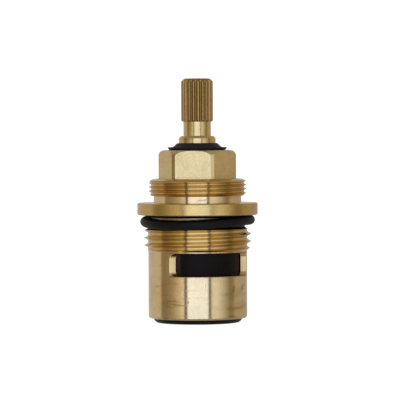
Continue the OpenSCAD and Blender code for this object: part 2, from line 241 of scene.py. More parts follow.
def is_shroud_rim(edge):
    """Whether an edge runs round the top of the upper thread."""
    return all(abs(vert.co.z - SHROUD_TOP * MM) < NEAR * MM
               and abs(vert.co.xy.length - SHROUD_RIM_R * MM) < NEAR * MM for vert in edge.verts)


shape = merged_copy("body")
shroud_rim = [edge for edge in shape.edges if is_shroud_rim(edge)]
soften(shape, shroud_rim, SHROUD_RIM_CUT, CHAMFER_SEGMENTS)
edge_count = len(shroud_rim) + break_edges(shape, BODY_BREAK)
body = piece_from(shape, "threaded_body")
carve(body, thread_tool(
    "valve_thread_tool", root_r=12.14, outer_r=13.45, root_flat=0.68, root_round=0.32, flank_angle=27.5,
    pitch=1.814, crest_z=18.99, from_z=16.5, to_z=25.0,
))
carve(body, thread_tool(
    "shroud_thread_tool", root_r=11.42, outer_r=12.06, root_flat=0.28, root_round=0.13, flank_angle=30,
    pitch=1.0, crest_z=33.18, from_z=29.95, to_z=36.0, back_z=34.45,
))
stands_for(shaded(body), "body", "housing")
for face in body.data.polygons:
    on_hexagon = abs(face.center.dot(face.normal) - HEX_AF / 2 * MM) < FLAT_NEAR * MM
    face.use_smooth = not (on_hexagon and abs(face.normal.z) < UPRIGHT_NEAR)
print("threaded_body has", edge_count, "broken edges")

# %% [markdown]
# ## The spindle and its tapped hole
#
# The spindle is turned from bar and its head is rolled into twenty teeth, which the solid
# already has with sharp edges. Rolling presses metal and leaves round crests and valleys, so
# the long edges of the teeth and the rim of the top face are rounded by a bevel of three
# segments. The solid also lacks the thread for the handle's screw. The same helical bar does
# it, only with the point outwards and its broad side inside the drilled hole. Its crest lies
# a little off the top face, because a crest in that very plane would leave torn edges.

# %% Cut the spindle
SPINDLE_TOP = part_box("spindle")[1].z / MM
HEAD_FOOT = 49.12
TOOTH_RUN = 5
TOOTH_ROUND = 0.1
TOP_RIM_R = 3.0
TOP_ROUND = 0.3
ROUND_SEGMENTS = 3
SPINDLE_BREAK = 0.05
SCREW_CREST_DROP = 0.203
SCREW_DEPTH = 9
SCREW_LEAD_IN = 1


def is_top_rim(edge):
    """Whether an edge runs round the top face."""
    return all(vert.co.z > (SPINDLE_TOP - NEAR) * MM
               and vert.co.xy.length > TOP_RIM_R * MM for vert in edge.verts)


def is_tooth_edge(edge):
    """Whether an edge runs up the splined head."""
    run = edge.verts[1].co - edge.verts[0].co
    in_head = min(vert.co.z for vert in edge.verts) > HEAD_FOOT * MM
    return in_head and abs(run.z) > TOOTH_RUN * MM and run.xy.length < MERGE_DISTANCE


shape = merged_copy("spindle")
tooth_edges = [edge for edge in shape.edges if is_tooth_edge(edge)]
soften(shape, tooth_edges, TOOTH_ROUND, ROUND_SEGMENTS)
soften(shape, [edge for edge in shape.edges if is_top_rim(edge)], TOP_ROUND, ROUND_SEGMENTS)
edge_count = break_edges(shape, SPINDLE_BREAK, HEAD_FOOT)
print("tapped_spindle has", len(tooth_edges), "round edges and", edge_count, "broken ones")
spindle = piece_from(shape, "tapped_spindle")
carve(spindle, thread_tool(
    "screw_thread_tool", root_r=2.45, outer_r=1.9, root_flat=0.1, root_round=0.04, flank_angle=30,
    pitch=0.8, crest_z=SPINDLE_TOP - SCREW_CREST_DROP, from_z=SPINDLE_TOP - SCREW_DEPTH,
    to_z=SPINDLE_TOP + SCREW_LEAD_IN,
))
stands_for(shaded(spindle), "spindle", "spindle_group")

# %% [markdown]
# ## Moulded and lapped pieces
#
# The plastic driver, the washers, the seals and the ceramic discs keep the shapes of their
# solids. Moulded edges are a little soft and lapped discs have a fine chamfer, so each gets
# a broken edge of its own width, which is the last number of its row, in mm.

# %% Copy the moulded and lapped pieces
MOULDED_AND_LAPPED = [
    ("disc_driver", "moulded_driver", "spindle_group", "driver_plastic", 0.12),
    ("moving_disc", "lapped_moving_disc", "spindle_group", "disc_ceramic", 0.15),
    ("fixed_disc", "lapped_fixed_disc", "housing", "disc_ceramic", 0.15),
    ("friction_washer", "slip_washer", "housing", "white_plastic", 0.08),
    ("seal_support_ring", "moulded_support_ring", "housing", "white_plastic", 0.08),
    ("bottom_seal", "moulded_bottom_seal", "housing", "seal_rubber", 0.05),
    ("upper_stem_o_ring", "moulded_upper_ring", "spindle_group", "seal_rubber", 0.02),
    ("lower_stem_o_ring", "moulded_lower_ring", "spindle_group", "seal_rubber", 0.02),
]
pieces = {"body": body, "spindle": spindle}
for node, name, rides_on, slot, break_mm in MOULDED_AND_LAPPED:
    shape = merged_copy(node)
    edge_count = break_edges(shape, break_mm)
    pieces[node] = stands_for(shaded(piece_from(shape, name)), node, rides_on)
    print(name, "has", edge_count, "broken edges")

# %% [markdown]
# ## The dust lip
#
# The lip is a soft black moulding, snapped under the spindle's collar: a cone that ends in a
# thin skirt, so that dirt stays out of the bore. Its solid has straight walls. The real one
# swings from the cone into the skirt and thins out towards its tip, so its outline is drawn
# anew inside the same box, spun round the axis, and bevelled where a mould would be round.

# %% Spin the dust lip
LIP_BORE_R = 4.05
LIP_TOP_R = 4.92
LIP_FOOT_R = 5.95
LIP_SEAT_R = 6.85
LIP_FOOT_H = 0.68
LIP_TIP_H = 0.56
LIP_TIP_T = 0.09
LIP_ROUNDS = {LIP_FOOT_R: 0.3, LIP_TOP_R: 0.12}
LIP_ROUND_SEGMENTS = 4

lip_low, lip_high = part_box("dust_lip")
lip_r = lip_high.x / MM
lip_h = (lip_high.z - lip_low.z) / MM
outline = [
    (LIP_BORE_R, 0), (LIP_SEAT_R, 0), (lip_r, LIP_TIP_H), (lip_r, LIP_TIP_H + LIP_TIP_T),
    (LIP_FOOT_R, LIP_FOOT_H), (LIP_TOP_R, lip_h), (LIP_BORE_R, lip_h),
]
shape = bmesh.new()
corners = [shape.verts.new((r * MM, 0, lip_low.z + z * MM)) for r, z in outline]
walls = [shape.edges.new((first, second)) for first, second in zip(corners, corners[1:] + corners[:1])]
bmesh.ops.spin(
    shape, geom=[*corners, *walls], axis=(0, 0, 1), cent=(0, 0, 0),
    angle=2 * math.pi, steps=STEPS_PER_TURN, use_merge=True,
)
bmesh.ops.remove_doubles(shape, verts=shape.verts, dist=MERGE_DISTANCE)
bmesh.ops.recalc_face_normals(shape, faces=shape.faces)
for round_r, width in LIP_ROUNDS.items():
    hoop = [edge for edge in shape.edges
            if all(abs(vert.co.xy.length - round_r * MM) < MERGE_DISTANCE for vert in edge.verts)]
    soften(shape, hoop, width, LIP_ROUND_SEGMENTS)
dust_lip = shaded(piece_from(shape, "moulded_dust_lip"))
pieces["dust_lip"] = stands_for(dust_lip, "dust_lip", "spindle_group")
print("moulded_dust_lip has", len(dust_lip.data.polygons), "faces")

# %% [markdown]
# ## The loose O-ring under the flange
#
# The thick O-ring is only dropped into its groove, so it does not lie flat: it sags at the
# front, a little left of the middle, and stands higher on the right. A torus primitive
# would lie flat, so a circle is spun into a ring and its points are then moved up or down
# by where they stand round the axis. Moulded rings also carry a faint raised line where the
# two halves of the mould met, which is made by drawing two points of the circle outwards.

# %% Spin and hang the O-ring
RING_SECTION = 2.4
RING_SIDES = 40
RING_STEPS = 180
RING_R = 12.85
RING_Z = 25.03
RING_SIDE_LIFT = 0.08
RING_SAG = 0.82
RING_SAG_POWER = 1.5
RING_SAG_TURN = math.radians(-25)
PARTING_LINE = 0.03

shape = bmesh.new()
bmesh.ops.create_circle(shape, segments=RING_SIDES, radius=RING_SECTION / 2 * MM)
outermost = max(shape.verts, key=lambda vert: vert.co.x)
innermost = min(shape.verts, key=lambda vert: vert.co.x)
outermost.co.x += PARTING_LINE * MM
innermost.co.x -= PARTING_LINE * MM
stand = Matrix.Translation((RING_R * MM, 0, 0)) @ Matrix.Rotation(math.radians(90), 4, "X")
bmesh.ops.transform(shape, matrix=stand, verts=shape.verts)
bmesh.ops.spin(
    shape, geom=[*shape.verts, *shape.edges], axis=(0, 0, 1), cent=(0, 0, 0),
    angle=2 * math.pi, steps=RING_STEPS, use_merge=True,
)
bmesh.ops.remove_doubles(shape, verts=shape.verts, dist=MERGE_DISTANCE)
bmesh.ops.recalc_face_normals(shape, faces=shape.faces)
sag_side = Matrix.Rotation(RING_SAG_TURN, 3, "Z") @ to_camera
for vert in shape.verts:
    outward = Vector((vert.co.x, vert.co.y, 0)).normalized()
    sag = RING_SAG * max(outward.dot(sag_side), 0) ** RING_SAG_POWER
    vert.co.z += (RING_Z + RING_SIDE_LIFT * outward.dot(to_right) - sag) * MM
flange_ring = shaded(piece_from(shape, "moulded_flange_ring"))
pieces["flange_o_ring"] = stands_for(flange_ring, "flange_o_ring", "housing")
print("moulded_flange_ring has", len(flange_ring.data.polygons), "faces")

# %% [markdown]
# ## Building blocks for the finishes
#
# Every finish here is procedural: it is worked out from where a point lies on the object, so
# it has no picture files and no seams. Node trees are usually drawn by hand in the shader
# editor. In a script, a few helpers that each add one node and return its output let a
# finish be read from top to bottom, like a sum.

# %% Helpers for shader nodes
MIX_SHARE = 0
MIX_NUMBER_A, MIX_NUMBER_B, MIX_NUMBER_RESULT = 2, 3, 0
MIX_COLOUR_A, MIX_COLOUR_B, MIX_COLOUR_RESULT = 6, 7, 2


def feed(tree, socket, value):
    """Link a socket to another one, or set it to a plain value."""
    if isinstance(value, bpy.types.NodeSocket):
        tree.links.new(value, socket)
    else:
        socket.default_value = value


def add(tree, kind, inputs=None, **settings):
    """Add a shader node with its settings and inputs."""
    node = tree.nodes.new("ShaderNode" + kind)
    for name, value in settings.items():
        setattr(node, name, value)
    for name, value in (inputs or {}).items():
        feed(tree, node.inputs[name], value)
    return node


def calc(tree, operation, *values):
    """Add a Math node and return its result."""
    return add(tree, "Math", dict(enumerate(values)), operation=operation).outputs["Value"]


def blend(tree, share, first, second, blend_type="MIX"):
    """Mix two colours by a share and return the result."""
    inputs = {MIX_SHARE: share, MIX_COLOUR_A: first, MIX_COLOUR_B: second}
    return add(tree, "Mix", inputs, data_type="RGBA", blend_type=blend_type).outputs[MIX_COLOUR_RESULT]


def number_mix(tree, share, first, second):
    """Mix two numbers by a share and return the result."""
    inputs = {MIX_SHARE: share, MIX_NUMBER_A: first, MIX_NUMBER_B: second}
    return add(tree, "Mix", inputs).outputs[MIX_NUMBER_RESULT]


def ease(tree, value, low, high, to_low=0.0, to_high=1.0):
    """Map a value smoothly from one range to another."""
    inputs = {"Value": value, "From Min": low, "From Max": high, "To Min": to_low, "To Max": to_high}
    return add(tree, "MapRange", inputs, interpolation_type="SMOOTHSTEP").outputs["Result"]


def ramp(tree, share, stops, interpolation="LINEAR"):
    """Look a share up on stops of (place, colour)."""
    node = add(tree, "ValToRGB", {"Fac": share})
    scale = node.color_ramp
    scale.interpolation = interpolation
    scale.elements.remove(scale.elements[0])
    scale.elements[0].position = stops[0][0]
    scale.elements[0].color = (*stops[0][1], 1)
    for place, colour in stops[1:]:
        scale.elements.new(place).color = (*colour, 1)
    return node.outputs["Color"]


# %% [markdown]
# Three effects come back in several materials, so each is a shader node group that is built
# once. The first gives a point's height and its distance from the axis in mm. The second
# draws the fine rings that a lathe tool leaves, by feeding only height and radius to a
# noise. The third gives soft patches, which can be stretched into streaks.

# %% Helpers for node groups
def new_group(name, inputs, outputs):
    """An empty node group with float sockets, and its inner input and output nodes."""
    group = bpy.data.node_groups.new(name, "ShaderNodeTree")
    for socket, value in inputs.items():
        item = group.interface.new_socket(socket, in_out="INPUT", socket_type="NodeSocketFloat")
        item.default_value = value
    for socket in outputs:
        group.interface.new_socket(socket, in_out="OUTPUT", socket_type="NodeSocketFloat")
    return group, group.nodes.new("NodeGroupInput"), group.nodes.new("NodeGroupOutput")


def place_group(tree, group, **inputs):
    """Use a node group in a material or in another group."""
    node = tree.nodes.new("ShaderNodeGroup")
    node.node_tree = group
    for name, value in inputs.items():
        feed(tree, node.inputs[name], value)
    return node


# %% Build the shared effects
MM_PER_METRE = 1 / MM

round_place, _, ends = new_group("round_place", {}, ["Height", "Radius"])
place = add(round_place, "TexCoord").outputs["Object"]
level = add(round_place, "VectorMath", {0: place, 1: (1, 1, 0)}, operation="MULTIPLY").outputs["Vector"]
radius = add(round_place, "VectorMath", {0: level}, operation="LENGTH").outputs["Value"]
height = add(round_place, "SeparateXYZ", {"Vector": place}).outputs["Z"]
feed(round_place, ends.inputs["Height"], calc(round_place, "MULTIPLY", height, MM_PER_METRE))
feed(round_place, ends.inputs["Radius"], calc(round_place, "MULTIPLY", radius, MM_PER_METRE))

turning_marks, starts, ends = new_group("turning_marks", {"Density": 4.0}, ["Marks"])
where = place_group(turning_marks, round_place)
rings = add(turning_marks, "CombineXYZ", {"X": where.outputs["Radius"], "Z": where.outputs["Height"]})
noise = add(turning_marks, "TexNoise", {
    "Vector": rings.outputs["Vector"], "Scale": starts.outputs["Density"],
    "Detail": 3.0, "Roughness": 0.65,
})
feed(turning_marks, ends.inputs["Marks"], noise.outputs["Fac"])

soft_patches, starts, ends = new_group("soft_patches", {"Scale": 100.0, "Stretch": 1.0}, ["Patches"])
place = add(soft_patches, "TexCoord").outputs["Object"]
squeeze = add(soft_patches, "CombineXYZ", {"X": 1.0, "Y": 1.0, "Z": starts.outputs["Stretch"]})
pulled = add(soft_patches, "VectorMath", {0: place, 1: squeeze.outputs["Vector"]}, operation="MULTIPLY")
noise = add(soft_patches, "TexNoise", {
    "Vector": pulled.outputs["Vector"], "Scale": starts.outputs["Scale"],
    "Detail": 4.0, "Roughness": 0.6,
})
feed(soft_patches, ends.inputs["Patches"], noise.outputs["Fac"])
print("node groups:", [group.name for group in bpy.data.node_groups])

# %% [markdown]
# ## Scuffs at chosen places
#
# Noise spreads its marks evenly, but a real part has a few scuffs at certain places, where
# it was gripped or slid along a tray. One more group draws a single soft smear: it turns the
# point until the smear's place faces +X, measures how far the point lies from it sideways
# and upwards, and breaks up the edge with the patches. A table then places each smear.

# %% Build the scuff
SCUFF_INPUTS = {"Turn": 0.0, "Level": 10.0, "Length": 2.0, "Width": 0.3, "Slant": 0.0}
SCUFF_PATCHES = {"Scale": 900.0, "Stretch": 3.0}
SCUFF_RAGGED = 2.4
SCUFF_RIM, SCUFF_CORE = 1.0, 0.1


def squared_share(tree, distance, size):
    """A distance as a share of a size, squared."""
    share = calc(tree, "ABSOLUTE", calc(tree, "DIVIDE", distance, size))
    return calc(tree, "POWER", share, 2)


scuff, starts, ends = new_group("scuff", SCUFF_INPUTS, ["Mask"])
place = add(scuff, "TexCoord").outputs["Object"]
back_turn = calc(scuff, "MULTIPLY", starts.outputs["Turn"], -1)
faced = add(scuff, "VectorRotate", {"Vector": place, "Angle": back_turn}, rotation_type="Z_AXIS")
parts = add(scuff, "SeparateXYZ", {"Vector": faced.outputs["Vector"]})
sideways = calc(scuff, "MULTIPLY", parts.outputs["Y"], MM_PER_METRE)
down = calc(scuff, "MULTIPLY", starts.outputs["Level"], -1)
upwards = calc(scuff, "MULTIPLY_ADD", parts.outputs["Z"], MM_PER_METRE, down)
slanted = calc(scuff, "SUBTRACT", upwards, calc(scuff, "MULTIPLY", sideways, starts.outputs["Slant"]))
along = squared_share(scuff, sideways, starts.outputs["Length"])
across = squared_share(scuff, slanted, starts.outputs["Width"])
ragged = place_group(scuff, soft_patches, **SCUFF_PATCHES).outputs["Patches"]
spread = calc(scuff, "SUBTRACT", calc(scuff, "ADD", along, across), SCUFF_RAGGED / 2)
reach = calc(scuff, "MULTIPLY_ADD", ragged, SCUFF_RAGGED, spread)
near_side = calc(scuff, "GREATER_THAN", parts.outputs["X"], 0)
smear = ease(scuff, reach, SCUFF_RIM, SCUFF_CORE)
feed(scuff, ends.inputs["Mask"], calc(scuff, "MULTIPLY", smear, near_side))
print("scuff group with", len(scuff.nodes), "nodes")

# %% [markdown]
# ## Brass
#
# Brass is a metal, so its colour tints its reflections. One bar of brass still shows several
# finishes: the sleeve is turned smooth, the flange's rim is duller, and the hexagon keeps the
# grain of the drawn bar, except at its corners, which the lathe has cut back and which carry a
# little painted shade. The threads carry painted shade, a deeper colour for the light that
# bounces twice between their flanks. A ramp on the height gives each band its colour, a second
# one its roughness. Brown streaks, scuffs, cloudy patches and a hint of copper here and there
# keep it from looking new, and a very shallow ripple in the surface makes mirrored edges waver
# as they do on turned metal.

# %% Make a brass
RAMP_TOP = 60.0
CLOUDS = {"Scale": 180.0, "Stretch": 1.0}
STREAKS = {"Scale": 90.0, "Stretch": 9.0}
COPPER = {"Scale": 75.0, "Stretch": 2.5}
GRAIN = {"Scale": 2600.0, "Stretch": 0.7}
RIPPLE = {"Scale": 1500.0, "Stretch": 1.0}
TURNING_DENSITY = 5.0
CLOUD_TONES = {"low": 0.3, "high": 0.7, "to_low": 0.90, "to_high": 1.05}
COPPER_TINT = (1.0, 0.93, 0.92, 1)
COPPER_FROM, COPPER_FULL = 0.45, 0.65
SPECKLE_FROM, SPECKLE_FULL = 0.36, 0.62
SPECKLE_DARK, SPECKLE_PALE = 0.95, 1.02
GRAIN_DARKER, GRAIN_PALER = -0.05, 0.04
CORNER_SHADE = -0.1
CORNER_ROUGHNESS = 0.18
STREAK_FROM, STREAK_FULL = 0.55, 0.72
STAIN_FROM, STAIN_FULL = 0.42, 0.6
STAIN_STRENGTH = 0.35
USED_ROUGHNESS = 0.2
LINE_ROUGHNESS = 0.10
RIPPLE_DEPTH = 0.0025
LINE_DEPTH = 0.02


def new_material(name):
    """A material with its node tree and its one shader."""
    material = bpy.data.materials.new(name)
    material.use_nodes = True
    return material, material.node_tree, material.node_tree.nodes["Principled BSDF"]


def patches(tree, pattern):
    """The soft patches at a pattern's scale and stretch."""
    return place_group(tree, soft_patches, **pattern).outputs["Patches"]


def dulled(tree, colour, share):
    """A colour multiplied by one share in all channels."""
    grey = add(tree, "CombineColor", {0: share, 1: share, 2: share}).outputs[0]
    return blend(tree, 1.0, colour, grey, "MULTIPLY")


def brass(name, bands, grain_from, grain_inside, stain_and_shade_colour, marks_and_shade):
    """Brass whose colour and roughness follow bands of height in mm, grained above and inside a limit."""
    material, tree, shader = new_material(name)
    where = place_group(tree, round_place)
    share = calc(tree, "DIVIDE", where.outputs["Height"], RAMP_TOP)
    tint = ramp(tree, share, [(z / RAMP_TOP, colour) for z, colour, _ in bands], "CONSTANT")
    rough = ramp(tree, share, [(z / RAMP_TOP, (value,) * 3) for z, _, value in bands], "CONSTANT")
    clouds = patches(tree, CLOUDS)
    grain = patches(tree, GRAIN)
    rings = place_group(tree, turning_marks, Density=TURNING_DENSITY).outputs["Marks"]

    # Where the bar keeps its grain, and where the lathe has cut the hexagon's corners back
    above = calc(tree, "GREATER_THAN", where.outputs["Height"], grain_from)
    inside = calc(tree, "LESS_THAN", where.outputs["Radius"], grain_inside)
    is_grain = calc(tree, "MULTIPLY", above, inside)
    is_turned_corner = calc(tree, "SUBTRACT", above, is_grain)
    lines = number_mix(tree, is_grain, rings, grain)

    # Cloudy patches, copper and speckle tone the colour, and the turned corners get painted shade
    speckle_low = calc(tree, "MULTIPLY_ADD", is_grain, GRAIN_DARKER, SPECKLE_DARK)
    speckle_high = calc(tree, "MULTIPLY_ADD", is_grain, GRAIN_PALER, SPECKLE_PALE)
    speckle = ease(tree, grain, SPECKLE_FROM, SPECKLE_FULL, speckle_low, speckle_high)
    # Painted shade on the hexagon's turned corners, a tenth darker.
    speckle_and_corner_shade = calc(tree, "MULTIPLY_ADD", is_turned_corner, CORNER_SHADE, speckle)
    toned = dulled(tree, tint, ease(tree, clouds, **CLOUD_TONES))
    has_copper = ease(tree, patches(tree, COPPER), COPPER_FROM, COPPER_FULL)
    speckled = dulled(tree, blend(tree, has_copper, toned, COPPER_TINT, "MULTIPLY"), speckle_and_corner_shade)

    # Brown streaks stay below the grained part, and marks of use and painted shade go over them
    streak = ease(tree, patches(tree, STREAKS), STREAK_FROM, STREAK_FULL)
    stain = calc(tree, "MULTIPLY", streak, ease(tree, clouds, STAIN_FROM, STAIN_FULL))
    stain_share = calc(tree, "MULTIPLY_ADD", above, -STAIN_STRENGTH, STAIN_STRENGTH)
    below_stain = calc(tree, "MULTIPLY", stain, stain_share)
    stains_and_shade = calc(tree, "MAXIMUM", below_stain, marks_and_shade(tree, where, grain))
    feed(tree, shader.inputs["Base Color"], blend(tree, stains_and_shade, speckled, (*stain_and_shade_colour, 1)))

    # Stained, worn and painted-shade places and tool lines are rougher, and both the ripple and the lines
    # stand in relief
    line_rough = calc(tree, "MULTIPLY_ADD", lines, LINE_ROUGHNESS, -LINE_ROUGHNESS / 2)
    worn_rough = calc(tree, "MULTIPLY_ADD", stains_and_shade, USED_ROUGHNESS, line_rough)
    face_rough = number_mix(tree, is_turned_corner, rough, CORNER_ROUGHNESS)
    feed(tree, shader.inputs["Roughness"], calc(tree, "ADD", face_rough, worn_rough))
    shader.inputs["Metallic"].default_value = 1.0
    waver = add(tree, "Bump", {
        "Strength": 0.5, "Distance": RIPPLE_DEPTH * MM, "Height": patches(tree, RIPPLE),
    })
    bump = add(tree, "Bump", {
        "Strength": 0.12, "Distance": LINE_DEPTH * MM, "Height": lines, "Normal": waver.outputs["Normal"],
    })
    feed(tree, shader.inputs["Normal"], bump.outputs["Normal"])
    return material


# %% [markdown]
# The body's marks of use are the smears of a table, a brown, ragged line along the windows' sill
# and head, where the cutter has left a burr, and a fine line on the windows' cheeks, where a
# second cut stopped. One smear of the table is painted shade on the ring's groove instead. A row
# of the table gives a smear's turn round the axis in degrees, its level, length and width in mm,
# its slant and its strength.

# %% Wear the body and paint shade on its groove
SCUFFS_AND_SHADE = [
    (-143, 5.3, 3.4, 1.5, 0.0, 0.22),
    (-144, 5.75, 2.2, 0.34, 0.0, 0.52),
    (-137, 4.9, 3.0, 0.36, -0.05, 0.54),
    (-146, 4.2, 1.8, 0.3, 0.0, 0.28),
    (-124, 5.6, 0.45, 0.5, 0.0, 0.42),
    (-112, 6.6, 2.4, 0.06, -0.05, 0.3),
    (-103.6, 9.2, 0.09, 1.0, 0.0, 0.45),
    (-67, 8.4, 0.65, 1.0, 1.1, 0.62),
    (-49, 8.8, 1.1, 0.9, 0.6, 0.58),
    (-62, 7.6, 4.0, 1.6, 0.1, 0.16),
    (-78, 7.4, 1.6, 0.5, 0.2, 0.2),
    (-54, 4.3, 4.8, 1.5, 0.1, 0.18),
    (-60, 3.9, 4.2, 0.42, 0.05, 0.52),
    (-43, 4.5, 2.6, 0.42, 0.15, 0.52),
    (-69, 1.95, 2.4, 0.34, 0.0, 0.48),
    (-153, 1.4, 1.1, 0.5, 0.0, 0.48),
    (-108, 30.1, 1.7, 0.3, 0.15, 0.45),
    # Painted shade: this smear darkens the right part of the ring's groove wall, which mirrors something
    # dark there.
    (-88, 25.2, 4.0, 0.6, 0.0, 0.85),
    (-60, 28.4, 0.5, 0.3, 0.0, 0.4),
    (-56, 27.5, 0.4, 0.25, 0.0, 0.4),
    (-47, 28.3, 0.25, 0.6, 0.0, 0.4),
    (20, 8.2, 4.0, 0.2, 0.05, 0.45),
    (75, 5.5, 3.0, 0.3, 0.0, 0.4),
    (150, 9.0, 3.0, 0.2, -0.05, 0.45),
]
WINDOW_SILL = 11.67
WINDOW_HEAD = 17.27
WINDOW_SIDE_Y = 6.6
SLEEVE_SKIN_R = 11.9
BURR_WIDTH, BURR_CORE = 0.28, 0.05
BURR_RAGGED = 0.5
BURR_STRENGTH = 0.8
CHEEK_LINE_R = 11.16
CHEEK_LINE_WIDTH, CHEEK_LINE_CORE = 0.1, 0.03
CHEEK_LINE_STRENGTH = 0.4


def distance_from(tree, value, middle):
    """How far a value lies from a middle, either way."""
    return calc(tree, "ABSOLUTE", calc(tree, "SUBTRACT", value, middle))


def body_wear_and_shade(tree, where, grain):
    """The scuffs of the table, one of them painted shade, and the lines at the windows, as one mask."""
    worn_and_shaded = None
    for turn, level, length, width, slant, strength in SCUFFS_AND_SHADE:
        smear = place_group(
            tree, scuff, Turn=math.radians(turn), Level=level, Length=length, Width=width, Slant=slant,
        ).outputs["Mask"]
        faint = calc(tree, "MULTIPLY", smear, strength)
        worn_and_shaded = faint if worn_and_shaded is None else calc(tree, "MAXIMUM", worn_and_shaded, faint)
    height = where.outputs["Height"]
    radius = where.outputs["Radius"]
    depth = add(tree, "SeparateXYZ", {"Vector": add(tree, "TexCoord").outputs["Object"]}).outputs["Y"]
    on_window_side = calc(tree, "GREATER_THAN", calc(tree, "ABSOLUTE", depth), WINDOW_SIDE_Y * MM)
    on_outside = calc(tree, "GREATER_THAN", radius, SLEEVE_SKIN_R)
    on_edge = calc(tree, "MULTIPLY", on_window_side, on_outside)
    for edge_z in (WINDOW_SILL, WINDOW_HEAD):
        gap = calc(tree, "SUBTRACT", distance_from(tree, height, edge_z), BURR_RAGGED / 2)
        ragged_gap = calc(tree, "MULTIPLY_ADD", grain, BURR_RAGGED, gap)
        burr = ease(tree, ragged_gap, BURR_WIDTH, BURR_CORE, 0.0, BURR_STRENGTH)
        worn_and_shaded = calc(tree, "MAXIMUM", worn_and_shaded, calc(tree, "MULTIPLY", burr, on_edge))
    window_gap = distance_from(tree, height, (WINDOW_SILL + WINDOW_HEAD) / 2)
    in_window = calc(tree, "LESS_THAN", window_gap, (WINDOW_HEAD - WINDOW_SILL) / 2)
    cheek_gap = distance_from(tree, radius, CHEEK_LINE_R)
    line = ease(tree, cheek_gap, CHEEK_LINE_WIDTH, CHEEK_LINE_CORE, 0.0, CHEEK_LINE_STRENGTH)
    on_cheek = calc(tree, "MULTIPLY", line, on_window_side)
    return calc(tree, "MAXIMUM", worn_and_shaded, calc(tree, "MULTIPLY", on_cheek, in_window))


print(len(SCUFFS_AND_SHADE), "scuffs in the table")

# %% [markdown]
# On the spindle the valleys between the teeth get painted shade, which darkens them towards
# the axis. The shade fades out in the last millimetre, where the teeth run into the round rim.

# %% Paint shade between the spindle's teeth
VALLEY_MOUTH_R, VALLEY_FLOOR_R = 3.84, 3.55
VALLEY_SHADE_STRENGTH = 0.9
VALLEY_SHADE_PATCHES = {"low": 0.3, "high": 0.6, "to_low": 0.7, "to_high": 1.0}
SHADE_GONE_DEPTH, SHADE_FULL_DEPTH = 0.5, 1.0


def spindle_valley_shade(tree, where, grain):
    """Painted shade between the teeth of the head."""
    height = where.outputs["Height"]
    # Painted shade, darker towards the valley floor.
    valley = ease(tree, where.outputs["Radius"], VALLEY_MOUTH_R, VALLEY_FLOOR_R, 0.0, VALLEY_SHADE_STRENGTH)
    ragged_valley = calc(tree, "MULTIPLY", valley, ease(tree, grain, **VALLEY_SHADE_PATCHES))
    in_head = calc(tree, "GREATER_THAN", height, HEAD_FOOT)
    below_top = ease(tree, height, SPINDLE_TOP - SHADE_GONE_DEPTH, SPINDLE_TOP - SHADE_FULL_DEPTH)
    return calc(tree, "MULTIPLY", ragged_valley, calc(tree, "MULTIPLY", in_head, below_top))


print("painted_valley_shade between radius", VALLEY_FLOOR_R, "and", VALLEY_MOUTH_R, "mm")

# %% [markdown]
# Both brasses come from the same function. A row of their bands gives the height in mm where
# the band starts, its colour and its roughness. The wall of the ring's groove is split into
# three: the ring's painted shadow at its foot, bare metal, and painted shade under the flange.

# %% Make both brasses
TURNED = (0.80, 0.62, 0.34)
THREAD_SHADE = (0.68, 0.48, 0.19)
RING_SHADOW = (0.05, 0.04, 0.03)
GROOVED = (0.84, 0.67, 0.41)
UNDER_FLANGE = (0.42, 0.33, 0.21)
DULL_RIM = (0.72, 0.50, 0.185)
DRAWN = (0.80, 0.61, 0.285)
SPUN = (0.76, 0.565, 0.25)
ROLLED = (0.43, 0.265, 0.092)
BODY_STAIN_AND_SHADE = (0.34, 0.175, 0.05)
VALLEY_SHADE = (0.28, 0.155, 0.042)
TURNED_ROUGHNESS = 0.14
HEXAGON_FOOT = 35.2
HEXAGON_CORNER_R = 9.45
WHOLE_HEAD_R = 5.0
BODY_BANDS = [
    (0.0, TURNED, TURNED_ROUGHNESS),
    # Painted shade: the valve thread is darker for light bouncing between its flanks.
    (17.7, THREAD_SHADE, TURNED_ROUGHNESS),
    # Painted shadow: the O-ring's shadow darkens the foot of its groove.
    (22.95, RING_SHADOW, 0.45),
    (24.6, GROOVED, 0.3),
    # Painted shade under the flange.
    (25.5, UNDER_FLANGE, 0.35),
    (26.4, DULL_RIM, 0.25),
    (29.25, TURNED, TURNED_ROUGHNESS),
    # Painted shade on the fine thread, as on the valve thread.
    (31.05, THREAD_SHADE, TURNED_ROUGHNESS),
    (HEXAGON_FOOT, DRAWN, 0.34),
]
SPINDLE_BANDS = [
    (0.0, SPUN, 0.19),
    (HEAD_FOOT, ROLLED, 0.27),
]

body_brass = brass(
    "turned_body_brass", BODY_BANDS, HEXAGON_FOOT, HEXAGON_CORNER_R, BODY_STAIN_AND_SHADE, body_wear_and_shade,
)
spindle_brass = brass(
    "turned_spindle_brass", SPINDLE_BANDS, HEAD_FOOT, WHOLE_HEAD_R, VALLEY_SHADE, spindle_valley_shade,
)
print("brasses with", len(BODY_BANDS), "and", len(SPINDLE_BANDS), "bands")

# %% [markdown]
# ## Rubber, plastic and ceramic
#
# The seals are black rubber with a faint bloom, the driver is a warm black nylon, the dust
# lip is a duller black. Black parts reflect very little in the picture, so their specular
# level is low and their detail comes from patches in colour and roughness. The hidden white
# pieces are a cloudy plastic, and the discs are lapped ceramic with a fine speckle.

# %% Make the other finishes
FINE_TIMES = 8
FINE_SHARE = 0.4
MOTTLE_FROM, MOTTLE_FULL = 0.35, 0.65


